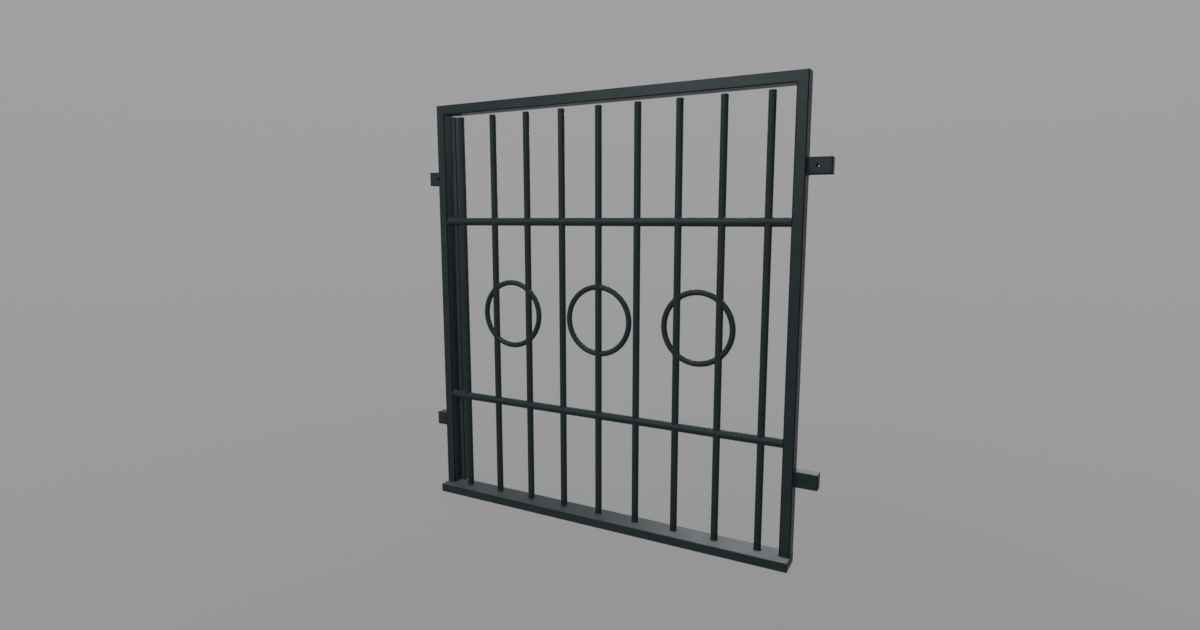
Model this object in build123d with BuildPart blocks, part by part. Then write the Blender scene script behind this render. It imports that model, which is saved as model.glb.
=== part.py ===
from build123d import *
import os
from math import acos, cos, degrees, radians, sin

# Window security grille: a welded steel frame of tube on a wide sill, nine upright bars,
# two pierced cross bars, three rings in the middle tier and four lugs that hold it to the wall.
# Millimetres. The origin is on the sill's underside, below the middle bar's axis.
# +X runs to the right as seen from the street, +Y goes in towards the window, +Z is up.

# Upright bars, solid round rod
bar_count = 9
bar_pitch = 100.0
bar_diameter = 16.0
bar_top_gap = 8.8
bar_chamfer = 0.8

# Cross bars, solid round rod that the upright bars pass through
cross_wall = 1.5
cross_hole_gap = 0.1
lower_cross_height = 273.0
upper_cross_drop = 298.0

# Frame of rectangular tube: two stiles and a head rail, mitred at the top corners
grille_height = 1040.0
end_bay = 49.0
frame_face = 24.0
frame_depth = 36.0
frame_wall = 2.0
tube_corner = 2.0

# Sill of flatter tube, flush with the frame at the back and standing out at the front
sill_height = 21.0
sill_projection = 26.0
sill_wall = 2.0
sill_cap = 2.0

# Rings of round rod in the bars' plane, cut where they meet a bar
ring_count = 3
ring_spacing_in_bays = 2.5
ring_radius = 80.5
ring_rod = 13.0
ring_gap = 0.1

# Lugs, solid blocks on the stiles' outer sides, each with one bolt hole
lug_reach = 48.0
lug_height = 35.0
lug_seat = 15.0
lug_stand_off = 10.0
lug_hole = 7.0
lug_hole_inset = 19.5
lug_edge = 2.0
lower_lug_height = 192.5
upper_lug_drop = 185.0

# Stop strip, a flat bar that stands on the sill against the left stile's inner side
strip_width = 14.0
strip_depth = 27.0
strip_seat = 8.4
strip_top_gap = 3.4
strip_edge = 1.0

# Sizes and places that follow from those above
cross_diameter = bar_diameter + 2 * (cross_hole_gap + cross_wall)
upper_cross_height = grille_height - upper_cross_drop
ring_height = (lower_cross_height + upper_cross_height) / 2
ring_spacing = ring_spacing_in_bays * bar_pitch
inner_width = (bar_count - 1) * bar_pitch + 2 * end_bay
grille_width = inner_width + 2 * frame_face
head_underside = grille_height - frame_face
frame_front = -cross_diameter / 2
frame_back = frame_front + frame_depth
frame_middle = (frame_front + frame_back) / 2
sill_front = frame_front - sill_projection
sill_depth = frame_back - sill_front
sill_middle = (sill_front + frame_back) / 2
wall_plane = frame_back + lug_stand_off
upper_lug_height = grille_height - upper_lug_drop

bar_places = [(number - (bar_count - 1) / 2) * bar_pitch for number in range(bar_count)]
ring_places = [(number - (ring_count - 1) / 2) * ring_spacing for number in range(ring_count)]

# The 45 degree cuts through the two top corners, each facing up and in to the head rail
left_mitre = Plane(origin=(-grille_width / 2, 0, grille_height), z_dir=(1, 0, 1))
right_mitre = Plane(origin=(grille_width / 2, 0, grille_height), z_dir=(-1, 0, 1))

os.makedirs("parts", exist_ok=True)


def save(piece, name):
    """Label a finished piece and write it to its own file."""
    piece.part.label = name
    export_step(piece.part, f"parts/{name}.step")


def tube_section(width, height, wall):
    """Draw a rectangular tube's section in the open sketch, rounded outside and square inside."""
    RectangleRounded(width, height, tube_corner)
    Rectangle(width - 2 * wall, height - 2 * wall, mode=Mode.SUBTRACT)


# Sill: a tube as long as the grille is wide, closed at each end by a welded plate
with BuildPart() as sill_tube:
    with BuildSketch(Plane.YZ.offset(-grille_width / 2 + sill_cap)):
        with Locations((sill_middle, sill_height / 2)):
            tube_section(sill_depth, sill_height, sill_wall)
    extrude(amount=grille_width - 2 * sill_cap)
save(sill_tube, "sill_tube")

for name, cap_start in (("left", -grille_width / 2), ("right", grille_width / 2 - sill_cap)):
    with BuildPart() as sill_end_cap:
        with BuildSketch(Plane.YZ.offset(cap_start)):
            with Locations((sill_middle, sill_height / 2)):
                RectangleRounded(sill_depth, sill_height, tube_corner)
        extrude(amount=sill_cap)
    save(sill_end_cap, f"{name}_sill_end_cap")

# Stiles: tubes that stand on the sill's top and meet the head rail in a mitre
for name, side, mitre in (("left", -1, left_mitre), ("right", 1, right_mitre)):
    with BuildPart() as stile:
        with BuildSketch(Plane.XY.offset(sill_height)):
            with Locations((side * (grille_width - frame_face) / 2, frame_middle)):
                tube_section(frame_face, frame_depth, frame_wall)
        extrude(amount=grille_height - sill_height)
        split(bisect_by=mitre, keep=Keep.BOTTOM)
    save(stile, f"{name}_stile")

# Head rail: the same tube laid across, mitred at both ends
with BuildPart() as head_rail:
    with BuildSketch(Plane.YZ.offset(-grille_width / 2)):
        with Locations((frame_middle, grille_height - frame_face / 2)):
            tube_section(frame_depth, frame_face, frame_wall)
    extrude(amount=grille_width)
    split(bisect_by=left_mitre, keep=Keep.TOP)
    split(bisect_by=right_mitre, keep=Keep.TOP)
save(head_rail, "head_rail")

# Upright bars: they stand on the sill, pass through both cross bars and stop under the head rail
for number, bar_x in enumerate(bar_places, start=1):
    with BuildPart() as bar:
        with BuildSketch(Plane.XY.offset(sill_height)):
            with Locations((bar_x, 0)):
                Circle(bar_diameter / 2)
        extrude(amount=head_underside - bar_top_gap - sill_height)
        chamfer(bar.edges().group_by(Axis.Z)[-1], length=bar_chamfer)
    save(bar, f"bar_{number}")

# Cross bars: round rods between the stiles' inner sides, pierced for every upright bar
for name, height in (("lower", lower_cross_height), ("upper", upper_cross_height)):
    with BuildPart() as cross_bar:
        with BuildSketch(Plane.YZ.offset(-inner_width / 2)):
            with Locations((0, height)):
                Circle(cross_diameter / 2)
        extrude(amount=inner_width)
        with BuildSketch(Plane.XY.offset(height)):
            with Locations([(bar_x, 0) for bar_x in bar_places]):
                Circle(bar_diameter / 2 + cross_hole_gap)
        extrude(amount=cross_diameter, both=True, mode=Mode.SUBTRACT)
    save(cross_bar, f"{name}_cross_bar")


def crossing_angles(ring_x):
    """List the angles from +X, in rising order, where a ring's centreline meets the bars' axes."""
    angles = []
    for bar_x in bar_places:
        offset = bar_x - ring_x
        if abs(offset) < ring_radius:
            angle = degrees(acos(offset / ring_radius))
            angles += [angle, 360 - angle]
    return sorted(angles)


def make_ring_arc(ring_x, start, span):
    """Bend one arc of a ring, both ends coped to the upright bars that it is welded to."""
    out = (cos(radians(start)), 0, sin(radians(start)))
    along = (-sin(radians(start)), 0, cos(radians(start)))
    start_point = (ring_x + ring_radius * out[0], 0, ring_height + ring_radius * out[2])
    with BuildPart() as ring_arc:
        with BuildSketch(Plane(origin=start_point, x_dir=out, z_dir=along)):
            Circle(ring_rod / 2)
        revolve(axis=Axis((ring_x, 0, ring_height), (0, -1, 0)), revolution_arc=span)
        with Locations([(bar_x, 0, ring_height) for bar_x in bar_places]):
            Cylinder(bar_diameter / 2 + ring_gap, 2 * ring_radius + 2 * ring_rod, mode=Mode.SUBTRACT)
    return ring_arc


# Rings: each is as many arcs as the bars cut it into, numbered anticlockwise seen from the street
for ring_number, ring_x in enumerate(ring_places, start=1):
    starts = crossing_angles(ring_x)
    ends = starts[1:] + [starts[0] + 360]
    for arc_number, (start, end) in enumerate(zip(starts, ends), start=1):
        save(make_ring_arc(ring_x, start, end - start), f"ring_{ring_number}_arc_{arc_number}")

# Lugs: the front part of each seats on the stile's outer side, the rest stands off to the wall
for level, height in (("lower", lower_lug_height), ("upper", upper_lug_height)):
    for name, side, outermost in (("left", -1, 0), ("right", 1, -1)):
        hole_x = side * (grille_width / 2 + lug_hole_inset)
        lug_front = frame_back - lug_seat
        with BuildPart() as lug:
            with BuildSketch(Plane.YZ.offset(side * grille_width / 2)):
                with Locations(((lug_front + wall_plane) / 2, height)):
                    Rectangle(wall_plane - lug_front, lug_height)
            extrude(amount=side * lug_reach)
            outer_end = lug.faces().filter_by(Axis.X).sort_by(Axis.X)[outermost]
            fillet(lug.edges().filter_by(Axis.X) + outer_end.edges(), radius=lug_edge)
            with BuildSketch(Plane.XZ.offset(-lug_front)):
                with Locations((hole_x, height)):
                    Circle(lug_hole / 2)
            extrude(amount=lug_front - wall_plane, mode=Mode.SUBTRACT)
        save(lug, f"{level}_{name}_lug")

# Stop strip: a flat bar on the sill, its front part against the left stile's inner side
with BuildPart() as left_stop_strip:
    strip_front = frame_back - strip_seat
    with BuildSketch(Plane.XY.offset(sill_height)):
        with Locations(((strip_width - inner_width) / 2, strip_front + strip_depth / 2)):
            Rectangle(strip_width, strip_depth)
    extrude(amount=head_underside - strip_top_gap - sill_height)
    fillet(left_stop_strip.edges().filter_by(Axis.Z).sort_by(Axis.X)[-2:], radius=strip_edge)
save(left_stop_strip, "left_stop_strip")
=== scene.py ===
import bmesh
import bpy
import math
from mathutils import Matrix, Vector


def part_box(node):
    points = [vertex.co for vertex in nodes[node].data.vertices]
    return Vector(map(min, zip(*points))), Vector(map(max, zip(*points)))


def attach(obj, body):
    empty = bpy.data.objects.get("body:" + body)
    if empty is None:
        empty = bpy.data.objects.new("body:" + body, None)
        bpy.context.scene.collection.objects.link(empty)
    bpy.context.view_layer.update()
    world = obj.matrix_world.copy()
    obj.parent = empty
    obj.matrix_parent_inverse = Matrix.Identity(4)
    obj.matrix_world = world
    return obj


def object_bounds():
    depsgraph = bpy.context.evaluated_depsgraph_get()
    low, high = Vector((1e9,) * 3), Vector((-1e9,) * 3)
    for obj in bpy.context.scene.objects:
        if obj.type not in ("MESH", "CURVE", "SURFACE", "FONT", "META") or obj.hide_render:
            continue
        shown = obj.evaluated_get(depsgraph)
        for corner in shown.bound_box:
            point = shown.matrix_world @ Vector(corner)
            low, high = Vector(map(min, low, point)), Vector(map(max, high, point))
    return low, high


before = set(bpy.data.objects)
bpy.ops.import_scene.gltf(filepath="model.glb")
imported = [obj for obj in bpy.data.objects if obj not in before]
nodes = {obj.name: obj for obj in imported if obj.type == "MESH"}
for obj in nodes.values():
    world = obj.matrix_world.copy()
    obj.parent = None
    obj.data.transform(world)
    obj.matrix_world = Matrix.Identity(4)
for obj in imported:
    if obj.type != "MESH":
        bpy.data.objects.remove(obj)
cad_low, cad_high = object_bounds()

# Sill: a wide steel tube that carries the whole grille, closed by a plate welded over each end
# and ground flush. Like all the rest it is coated in satin anthracite, sprayed on and baked, with
# painted shade darkening each sharp edge that doesn't face up.
anthracite = (0.0125, 0.0204, 0.0227, 1.0)
anthracite_pale = (0.0151, 0.0238, 0.0262, 1.0)
coat_roughness = (0.41, 0.48)
coat_specular = 0.20
cool_sheen = (0.90, 1.0, 1.06, 1.0)


def feed(tree, source, socket):
    """Give a socket its source, which is another node's socket or a fixed value."""
    if isinstance(source, bpy.types.NodeSocket):
        tree.links.new(source, socket)
    else:
        socket.default_value = source


def add_math(tree, operation, first, second):
    """Put one maths node in the tree and return its result."""
    node = tree.nodes.new("ShaderNodeMath")
    node.operation = operation
    feed(tree, first, node.inputs[0])
    feed(tree, second, node.inputs[1])
    return node.outputs["Value"]


def add_vector_math(tree, operation, first, second=None):
    """Put one vector maths node in the tree and return its outputs, a vector and a value."""
    node = tree.nodes.new("ShaderNodeVectorMath")
    node.operation = operation
    feed(tree, first, node.inputs[0])
    if second is not None:
        feed(tree, second, node.inputs[1])
    return node.outputs


def add_split(tree, vector):
    """Put one node in the tree that parts a vector into X, Y and Z, and return them."""
    node = tree.nodes.new("ShaderNodeSeparateXYZ")
    feed(tree, vector, node.inputs[0])
    return node.outputs


def add_range(tree, value, start, end, low=0.0, high=1.0, smooth=False):
    """Put one node in the tree that goes from low, where value is start, to high, where it is end."""
    node = tree.nodes.new("ShaderNodeMapRange")
    node.interpolation_type = "SMOOTHSTEP" if smooth else "LINEAR"
    feed(tree, value, node.inputs["Value"])
    feed(tree, start, node.inputs["From Min"])
    feed(tree, end, node.inputs["From Max"])
    feed(tree, low, node.inputs["To Min"])
    feed(tree, high, node.inputs["To Max"])
    return node.outputs["Result"]


def add_blend(tree, share, first, second):
    """Put one node in the tree that blends two colours, and return the blend."""
    node = tree.nodes.new("ShaderNodeMix")
    node.data_type = "RGBA"
    feed(tree, share, node.inputs["Factor"])
    feed(tree, first, node.inputs["A"])
    feed(tree, second, node.inputs["B"])
    return node.outputs["Result"]


def add_noise(tree, vector, scale, detail):
    """Put one noise texture in the tree and return its factor."""
    node = tree.nodes.new("ShaderNodeTexNoise")
    feed(tree, vector, node.inputs["Vector"])
    feed(tree, scale, node.inputs["Scale"])
    feed(tree, detail, node.inputs["Detail"])
    return node.outputs["Fac"]


def start_group(name, inputs, outputs):
    """Begin a shader node group with the named sockets and return the tree and its two ends."""
    tree = bpy.data.node_groups.new(name, "ShaderNodeTree")
    for socket, kind in inputs:
        tree.interface.new_socket(name=socket, in_out="INPUT", socket_type=kind)
    for socket, kind in outputs:
        tree.interface.new_socket(name=socket, in_out="OUTPUT", socket_type=kind)
    return tree, tree.nodes.new("NodeGroupInput").outputs, tree.nodes.new("NodeGroupOutput").inputs


peel_scale = 700.0
peel_detail = 2.0
peel_depth = 0.00004
patch_scale = 28.0
patch_detail = 3.0
patch_low = 0.32
patch_high = 0.68


def make_spray_group():
    """The sprayed coat's own unevenness: a fine peel, and slow patches of more and less gloss."""
    tree, given, wanted = start_group(
        "sprayed_coat",
        [("Vector", "NodeSocketVector"), ("Peel Scale", "NodeSocketFloat"),
         ("Patch Scale", "NodeSocketFloat")],
        [("Peel", "NodeSocketFloat"), ("Patch", "NodeSocketFloat")])
    peel = add_noise(tree, given["Vector"], given["Peel Scale"], peel_detail)
    patch = add_noise(tree, given["Vector"], given["Patch Scale"], patch_detail)
    feed(tree, peel, wanted["Peel"])
    feed(tree, add_range(tree, patch, patch_low, patch_high), wanted["Patch"])
    return tree


# painted shade: the colour laid along sharp edges that don't face up
arris_painted_shade = (0.0035, 0.0045, 0.0050, 1.0)
arris_solid = 0.0016
arris_width = 0.0027
upright_limit = 0.1
level_limit = 0.6


def make_edge_shade_group():
    """A mask for painted shade along a box-shaped piece's edges, told by its two nearest sides, without
    those facing up.
    """
    tree, given, wanted = start_group(
        "arris",
        [("Vector", "NodeSocketVector"), ("Centre", "NodeSocketVector"), ("Half Size", "NodeSocketVector"),
         ("Solid", "NodeSocketFloat"), ("Width", "NodeSocketFloat")],
        [("Mask", "NodeSocketFloat")])
    offset = add_vector_math(tree, "SUBTRACT", given["Vector"], given["Centre"])["Vector"]
    size = add_vector_math(tree, "ABSOLUTE", offset)["Vector"]
    x, y, z = add_split(tree, add_vector_math(tree, "SUBTRACT", given["Half Size"], size)["Vector"])
    least = add_math(tree, "MINIMUM", x, y)
    most = add_math(tree, "MAXIMUM", x, y)
    second = add_math(tree, "MAXIMUM", least, add_math(tree, "MINIMUM", most, z))
    near = add_range(tree, second, given["Solid"], given["Width"], 1.0, 0.0, smooth=True)
    facing = add_split(tree, tree.nodes.new("ShaderNodeNewGeometry").outputs["Normal"])
    upright = add_range(tree, facing["Z"], upright_limit, level_limit, 1.0, 0.0, smooth=True)
    feed(tree, add_math(tree, "MULTIPLY", near, upright), wanted["Mask"])
    return tree


spray_group = make_spray_group()
edge_shade_group = make_edge_shade_group()


def make_coat(name, box=None, peel=peel_depth, tints=(anthracite, anthracite_pale),
              specular=coat_specular, roughness=coat_roughness):
    """Satin anthracite coat; with a box given, painted shade darkens it along that box's edges."""
    material = bpy.data.materials.new(name)
    material.use_nodes = True
    tree = material.node_tree
    shader = tree.nodes["Principled BSDF"].inputs
    shader["Specular IOR Level"].default_value = specular
    shader["Specular Tint"].default_value = cool_sheen
    place = tree.nodes.new("ShaderNodeTexCoord").outputs["Object"]
    spray = tree.nodes.new("ShaderNodeGroup")
    spray.node_tree = spray_group
    feed(tree, place, spray.inputs["Vector"])
    feed(tree, peel_scale, spray.inputs["Peel Scale"])
    feed(tree, patch_scale, spray.inputs["Patch Scale"])
    colour = add_blend(tree, spray.outputs["Patch"], *tints)
    dullness = add_range(tree, spray.outputs["Patch"], 0.0, 1.0, *roughness)
    if box is not None:
        low, high = box
        arris = tree.nodes.new("ShaderNodeGroup")
        arris.node_tree = edge_shade_group
        feed(tree, place, arris.inputs["Vector"])
        feed(tree, (low + high) / 2, arris.inputs["Centre"])
        feed(tree, (high - low) / 2, arris.inputs["Half Size"])
        feed(tree, arris_solid, arris.inputs["Solid"])
        feed(tree, arris_width, arris.inputs["Width"])
        # painted shade along the box's edges, except those facing up
        colour = add_blend(tree, arris.outputs["Mask"], colour, arris_painted_shade)
        dullness = add_math(tree, "MAXIMUM", dullness, arris.outputs["Mask"])
    feed(tree, colour, shader["Base Color"])
    feed(tree, dullness, shader["Roughness"])
    bump = tree.nodes.new("ShaderNodeBump")
    feed(tree, peel, bump.inputs["Distance"])
    feed(tree, spray.outputs["Peel"], bump.inputs["Height"])
    feed(tree, bump.outputs["Normal"], shader["Normal"])
    return material


def dress(name, material):
    """Give a CAD piece its coat."""
    slots = nodes[name].data.materials
    slots.clear()
    slots.append(material)


sill_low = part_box("left_sill_end_cap")[0]
sill_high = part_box("right_sill_end_cap")[1]
sill_top = sill_high.z
sill_coat = make_coat("sill_coat", (sill_low, sill_high))
for name in ("sill_tube", "left_sill_end_cap", "right_sill_end_cap"):
    dress(name, sill_coat)

# Stiles and head rail: one size of rectangular tube, mitred at the top corners, the welds there
# ground off flush before coating, which lies smoother on the head rail. The stiles' feet are welded
# down to the sill in front and on their inner sides.
tube_corner = 0.002
back_corner_gap = 0.003
foot_bead = 0.0016
bead_ripple = 0.0020
bead_valley = 0.86
fewest_ripples = 4
bead_steps = 5
bead_sides = 10
length_samples = 48
aim_share = 0.002
end_sharpness = 24
end_least = 0.05
weld_peel = 0.00008
bead_coat = make_coat("weld_coat", peel=weld_peel)
upward = Vector((0, 0, 1))
rightward = Vector((1, 0, 0))


def run_bead(mesh, point_at, axis, radius, closed=True):
    """Lay one rippled bead from point_at(0) to point_at(1), its section square to the run."""
    marks = [point_at(step / length_samples) for step in range(length_samples + 1)]
    length = sum((after - before).length for before, after in zip(marks, marks[1:]))
    ripples = max(fewest_ripples, round(length / bead_ripple))
    steps = ripples * bead_steps
    rings = []
    for step in range(steps if closed else steps + 1):
        share = step / steps
        here = point_at(share)
        along = (point_at(share + aim_share) - point_at(share - aim_share)).normalized()
        side = along.cross(axis).normalized()
        up = side.cross(along)
        ripple = abs(math.sin(math.pi * share * ripples))
        swell = radius * (bead_valley + (1 - bead_valley) * ripple)
        if not closed:
            swell *= math.sqrt(max(end_least, 1 - abs(2 * share - 1) ** end_sharpness))
        ring = []
        for corner in range(bead_sides):
            turn = 2 * math.pi * corner / bead_sides
            ring.append(mesh.verts.new(here + swell * (math.cos(turn) * side + math.sin(turn) * up)))
        rings.append(ring)
    pairs = list(zip(rings, rings[1:]))
    if closed:
        pairs.append((rings[-1], rings[0]))
    else:
        mesh.faces.new(rings[0])
        mesh.faces.new(list(reversed(rings[-1])))
    for first, second in pairs:
        for corner in range(bead_sides):
            after = (corner + 1) % bead_sides
            mesh.faces.new((first[corner], first[after], second[after], second[corner]))


def straight(start, end):
    """A run from start to end, as run_bead takes it."""
    return lambda share: start.lerp(end, share)


def finish_beads(name, mesh):
    """Turn the beads laid so far into one piece that rides with the grille."""
    bmesh.ops.recalc_face_normals(mesh, faces=mesh.faces)
    data = bpy.data.meshes.new(name)
    mesh.to_mesh(data)
    mesh.free()
    for face in data.polygons:
        face.use_smooth = True
    data.materials.append(bead_coat)
    piece = bpy.data.objects.new(name, data)
    bpy.context.scene.collection.objects.link(piece)
    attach(piece, "root")


head_roughness = (0.33, 0.39)
head_low, head_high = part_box("head_rail")
dress("head_rail", make_coat("head_rail_coat", (head_low, head_high), roughness=head_roughness))
tube_front = head_low.y
tube_back = head_high.y
stile_beads = bmesh.new()
for name, inner in (("left_stile", 1), ("right_stile", 0)):
    low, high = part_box(name)
    dress(name, make_coat(f"{name}_coat", (low, high)))
    front_left = Vector((low.x + tube_corner, tube_front, sill_top))
    front_right = Vector((high.x - tube_corner, tube_front, sill_top))
    run_bead(stile_beads, straight(front_left, front_right), upward, foot_bead, closed=False)
    inner_x = (low, high)[inner].x
    inner_front = Vector((inner_x, tube_front + tube_corner, sill_top))
    inner_back = Vector((inner_x, tube_back - back_corner_gap, sill_top))
    run_bead(stile_beads, straight(inner_front, inner_back), upward, foot_bead, closed=False)
finish_beads("stile_foot_welds", stile_beads)

# Upright bars: nine lengths of bright drawn round rod, cut square with the top edge broken.
# Each stands on the sill in a small fillet weld run all round its foot.
bar_count = 9
rod_tints = ((0.0126, 0.0204, 0.0227, 1.0), (0.0151, 0.0239, 0.0263, 1.0))
rod_specular = 0.12
rod_roughness = (0.48, 0.56)


def make_rod_coat(name):
    """The same coat on round rod, where it is duller."""
    return make_coat(name, tints=rod_tints, specular=rod_specular, roughness=rod_roughness)


bar_coat = make_rod_coat("bar_coat")
bar_axes = []
foot_beads = bmesh.new()
for number in range(1, bar_count + 1):
    name = f"bar_{number}"
    dress(name, bar_coat)
    low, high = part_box(name)
    middle = (low + high) / 2
    bar_radius = (high.x - low.x) / 2
    bar_axes.append(middle.x)

    def round_foot(share, middle=middle):
        turn = 2 * math.pi * share
        x = middle.x + bar_radius * math.cos(turn)
        y = middle.y + bar_radius * math.sin(turn)
        return Vector((x, y, sill_top))

    run_bead(foot_beads, round_foot, upward, foot_bead)
finish_beads("bar_foot_welds", foot_beads)

# Cross bars: two thicker rods, each bored through nine times for the upright bars to pass.
# Small seams hold every upright where it leaves the bar, above and below, and a fillet round the
# back joins each end to its stile, since in front the two are flush.
seam_bead = 0.0011
end_weld_span = math.radians(252)
for name in ("lower_cross_bar", "upper_cross_bar"):
    dress(name, make_rod_coat(f"{name}_coat"))
    low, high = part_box(name)
    middle = (low + high) / 2
    cross_radius = (high.z - low.z) / 2
    beads = bmesh.new()
    for bar_x in bar_axes:
        for rise in (-1, 1):

            def round_bar(share, bar_x=bar_x, rise=rise):
                turn = 2 * math.pi * share
                y = bar_radius * math.sin(turn)
                z = middle.z + rise * math.sqrt(cross_radius ** 2 - y ** 2)
                return Vector((bar_x + bar_radius * math.cos(turn), y, z))

            run_bead(beads, round_bar, upward, seam_bead)
    for end_x in (low.x, high.x):

        def round_end(share, end_x=end_x):
            turn = end_weld_span * (share - 0.5)
            return Vector((end_x, cross_radius * math.cos(turn), middle.z + cross_radius * math.sin(turn)))

        run_bead(beads, round_end, rightward, foot_bead, closed=False)
    finish_beads(f"{name}_welds", beads)

# Rings: thinner rod bent round a former, cut where it crosses a bar, coped to fit and welded to
# the bar with a seam round each end.
ring_coat = make_rod_coat("ring_coat")
for ring in (1, 2, 3):
    arcs = [name for name in nodes if name.startswith(f"ring_{ring}_arc_")]
    boxes = [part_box(name) for name in arcs]
    for name in arcs:
        dress(name, ring_coat)
    ring_low = Vector(min(low[axis] for low, high in boxes) for axis in range(3))
    ring_high = Vector(max(high[axis] for low, high in boxes) for axis in range(3))
    centre = (ring_low + ring_high) / 2
    rod_radius = (ring_high.y - ring_low.y) / 2
    bend_radius = (ring_high.z - ring_low.z) / 2 - rod_radius
    beads = bmesh.new()
    for bar_x in bar_axes:
        offset = bar_x - centre.x
        if abs(offset) >= bend_radius:
            continue
        lean = math.asin(offset / bend_radius)
        for half in (-1, 1):
            rod_side = Vector((math.cos(lean), 0, -half * math.sin(lean)))
            for side in (-1, 1):

                def round_rod(share, offset=offset, half=half, side=side):
                    turn = 2 * math.pi * share
                    y = rod_radius * math.sin(turn)
                    x = offset + side * math.sqrt(bar_radius ** 2 - y ** 2)
                    z = math.sqrt((bend_radius + rod_radius * math.cos(turn)) ** 2 - x ** 2)
                    return centre + Vector((x, y, half * z))

                run_bead(beads, round_rod, rod_side, seam_bead)
    finish_beads(f"ring_{ring}_welds", beads)

# Lugs: four blocks sawn from flat bar and drilled for a wall bolt, welded with their front part
# against the stile's outer side, above, below, in front and in the corner behind.
lug_bead = 0.0015
hole_inset = 0.0195
hole_reach = 0.0038
# painted shade inside the lugs' drilled holes
hole_painted_shade = (0.0030, 0.0035, 0.0038, 1.0)
across_hole = (1, 0, 1)


def paint_hole_shade(material, centre):
    """Paint shade into the drilled hole: its inside is made dark and dull."""
    tree = material.node_tree
    shader = tree.nodes["Principled BSDF"].inputs
    colour = shader["Base Color"].links[0].from_socket
    dullness = shader["Roughness"].links[0].from_socket
    place = tree.nodes.new("ShaderNodeTexCoord").outputs["Object"]
    offset = add_vector_math(tree, "SUBTRACT", place, centre)["Vector"]
    across = add_vector_math(tree, "MULTIPLY", offset, across_hole)["Vector"]
    radius = add_vector_math(tree, "LENGTH", across)["Value"]
    inside = add_math(tree, "LESS_THAN", radius, hole_reach)
    # painted shade: dark colour within the hole's reach
    feed(tree, add_blend(tree, inside, colour, hole_painted_shade), shader["Base Color"])
    feed(tree, add_math(tree, "MAXIMUM", dullness, inside), shader["Roughness"])


lug_beads = bmesh.new()
for level in ("lower", "upper"):
    for side, outer, outward in (("left", 0, -1), ("right", 1, 1)):
        name = f"{level}_{side}_lug"
        low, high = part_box(name)
        seat_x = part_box(f"{side}_stile")[outer].x
        lug_coat = make_coat(f"{name}_coat", (low, high))
        paint_hole_shade(lug_coat, (seat_x + outward * hole_inset, 0, (low.z + high.z) / 2))
        dress(name, lug_coat)
        lower_front = Vector((seat_x, low.y, low.z))
        upper_front = Vector((seat_x, low.y, high.z))
        lower_back = Vector((seat_x, tube_back, low.z))
        upper_back = Vector((seat_x, tube_back, high.z))
        for start, end in ((lower_front, lower_back), (upper_front, upper_back),
                           (lower_front, upper_front), (lower_back, upper_back)):
            run_bead(lug_beads, straight(start, end), rightward, lug_bead, closed=False)
finish_beads("lug_welds", lug_beads)

# Stop strip: a flat bar set on edge against the left stile's inner side, which it passes at the
# back, held by short stitches of weld down both corners. Its paler coat is painted light.
# painted light: a paler coat that brightens the strip's narrow front
strip_painted_light_tints = ((0.0220, 0.0340, 0.0375, 1.0), (0.0250, 0.0385, 0.0420, 1.0))
strip_specular = 0.30
stitch_length = 0.025
stitch_count = 7
low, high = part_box("left_stop_strip")
strip_coat = make_coat("left_stop_strip_coat", (low, high), tints=strip_painted_light_tints, specular=strip_specular)
dress("left_stop_strip", strip_coat)
strip_beads = bmesh.new()
for number in range(stitch_count):
    middle_z = low.z + (high.z - low.z) * (number + 0.5) / stitch_count
    for corner_y in (low.y, tube_back):
        bottom = Vector((low.x, corner_y, middle_z - stitch_length / 2))
        top = Vector((low.x, corner_y, middle_z + stitch_length / 2))
        run_bead(strip_beads, straight(bottom, top), rightward, foot_bead, closed=False)
finish_beads("stop_strip_welds", strip_beads)

# Floor and backdrop: a plain mid-grey studio, the floor running into the background without a
# line and keeping only a faint shadow under the grille.
horizon_grey = (0.3405, 0.3405, 0.3405, 1.0)
# painted shade: the floor's grey for the camera, darker near the spot under the camera
front_shade_grey = (0.3000, 0.3000, 0.3000, 1.0)
sky_grey = (0.3560, 0.3560, 0.3560, 1.0)
floor_matt = (0.24, 0.24, 0.24, 1.0)
floor_reach = 30.0
floor_drop = 0.0005
under_camera = (0.75, -1.41, 0.0)
front_reach = 1.0
shadow_share = 0.20
shadow_start = 0.4
shadow_reach = 1.6
sky_rise = 0.28
floor_corners = [(-floor_reach, -floor_reach, 0), (floor_reach, -floor_reach, 0),
                 (floor_reach, floor_reach, 0), (-floor_reach, floor_reach, 0)]
floor_data = bpy.data.meshes.new("floor")
floor_data.from_pydata(floor_corners, [], [(0, 1, 2, 3)])
floor = bpy.data.objects.new("floor", floor_data)
floor.location.z = -floor_drop
bpy.context.scene.collection.objects.link(floor)
floor_paint = bpy.data.materials.new("floor_paint")
floor_paint.use_nodes = True
tree = floor_paint.node_tree
tree.nodes.remove(tree.nodes["Principled BSDF"])
place = tree.nodes.new("ShaderNodeTexCoord").outputs["Object"]
# painted shade: the floor glows darker the nearer it is to the spot under the camera
from_camera = add_vector_math(tree, "DISTANCE", place, under_camera)["Value"]
nearness = add_math(tree, "DIVIDE", front_reach, from_camera)
plain = tree.nodes.new("ShaderNodeEmission")
feed(tree, add_blend(tree, nearness, horizon_grey, front_shade_grey), plain.inputs["Color"])
matt = tree.nodes.new("ShaderNodeBsdfDiffuse")
feed(tree, floor_matt, matt.inputs["Color"])
path = tree.nodes.new("ShaderNodeLightPath").outputs
seen = add_math(tree, "MAXIMUM", path["Is Camera Ray"], path["Is Glossy Ray"])
from_grille = add_vector_math(tree, "LENGTH", place)["Value"]
unshaded = add_range(tree, from_grille, shadow_start, shadow_reach, 1.0 - shadow_share, 1.0, smooth=True)
blend = tree.nodes.new("ShaderNodeMixShader")
feed(tree, add_math(tree, "MULTIPLY", unshaded, seen), blend.inputs["Fac"])
feed(tree, matt.outputs["BSDF"], blend.inputs[1])
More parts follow.
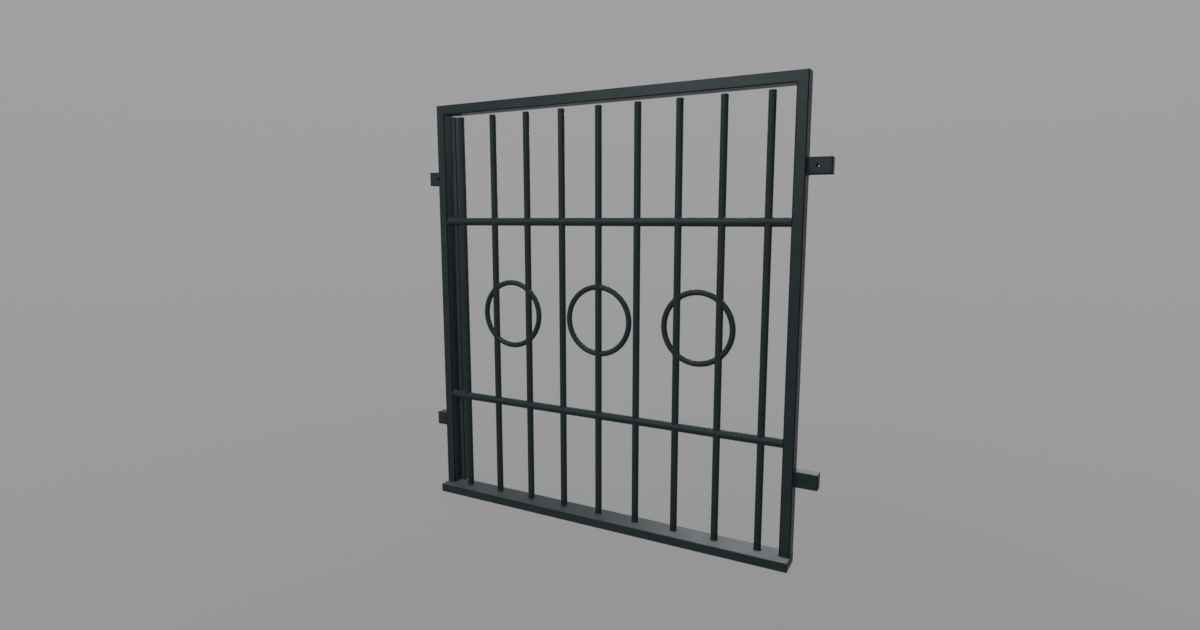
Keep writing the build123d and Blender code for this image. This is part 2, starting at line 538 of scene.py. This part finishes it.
feed(tree, plain.outputs["Emission"], blend.inputs[2])
feed(tree, blend.outputs["Shader"], tree.nodes["Material Output"].inputs["Surface"])
floor_data.materials.append(floor_paint)

world = bpy.data.worlds.new("studio")
bpy.context.scene.world = world
world.use_nodes = True
tree = world.node_tree
direction = add_split(tree, tree.nodes.new("ShaderNodeTexCoord").outputs["Generated"])
climb = add_range(tree, direction["Z"], 0.0, sky_rise)
feed(tree, add_blend(tree, climb, horizon_grey, sky_grey), tree.nodes["Background"].inputs["Color"])

# Lamps: soft boxes in front and above on the left, low on the right, overhead, and behind, where
# two lay a sheen along the sill's top. Only one of the two in front throws a shadow, so that the
# shadows stay faint.
box_height = 1.5
grille_middle = (cad_low + cad_high) / 2
for name, offset, width, power, throws_shadow in (
        ("front_box", (-0.7, -2.4, 2.0), 1.5, 12.0, True),
        ("front_fill", (-0.7, -2.4, 2.0), 1.5, 61.0, False),
        ("side_fill", (2.4, -1.0, -0.1), 1.5, 4.0, False),
        ("top_fill", (0.0, -0.1, 2.6), 1.5, 22.0, False),
        ("back_box", (-0.2, 2.6, 1.5), 1.4, 53.0, False),
        ("back_fill", (-2.9, 2.6, 1.5), 1.5, 8.0, False)):
    lamp = bpy.data.lights.new(name, "AREA")
    lamp.shape = "RECTANGLE"
    lamp.size = width
    lamp.size_y = box_height
    lamp.energy = power
    lamp.use_shadow = throws_shadow
    lamp.cycles.use_multiple_importance_sampling = throws_shadow
    holder = bpy.data.objects.new(name, lamp)
    holder.location = grille_middle + Vector(offset)
    holder.rotation_mode = "QUATERNION"
    holder.rotation_quaternion = (-Vector(offset)).to_track_quat("-Z", "Y")
    bpy.context.scene.collection.objects.link(holder)

# Camera: level with the upper half of the grille, to its right, turned left and a little down,
# as solved from the bars' edges in the photograph.
camera_place = (0.7547, -1.4141, 0.7465)
turned_down = 8.004
turned_left = 27.954
upright_view = math.radians(50.0)
sensor_width = 36.0
photo_width = 1200
photo_height = 630
camera_data = bpy.data.cameras.new("camera")
camera_data.sensor_width = sensor_width
camera_data.lens = sensor_width * photo_height / photo_width / 2 / math.tan(upright_view / 2)
camera = bpy.data.objects.new("camera", camera_data)
camera.location = camera_place
camera.rotation_euler = (math.radians(90 - turned_down), 0, math.radians(turned_left))
bpy.context.scene.collection.objects.link(camera)
bpy.context.scene.camera = camera
bpy.context.scene.view_settings.view_transform = "Standard"
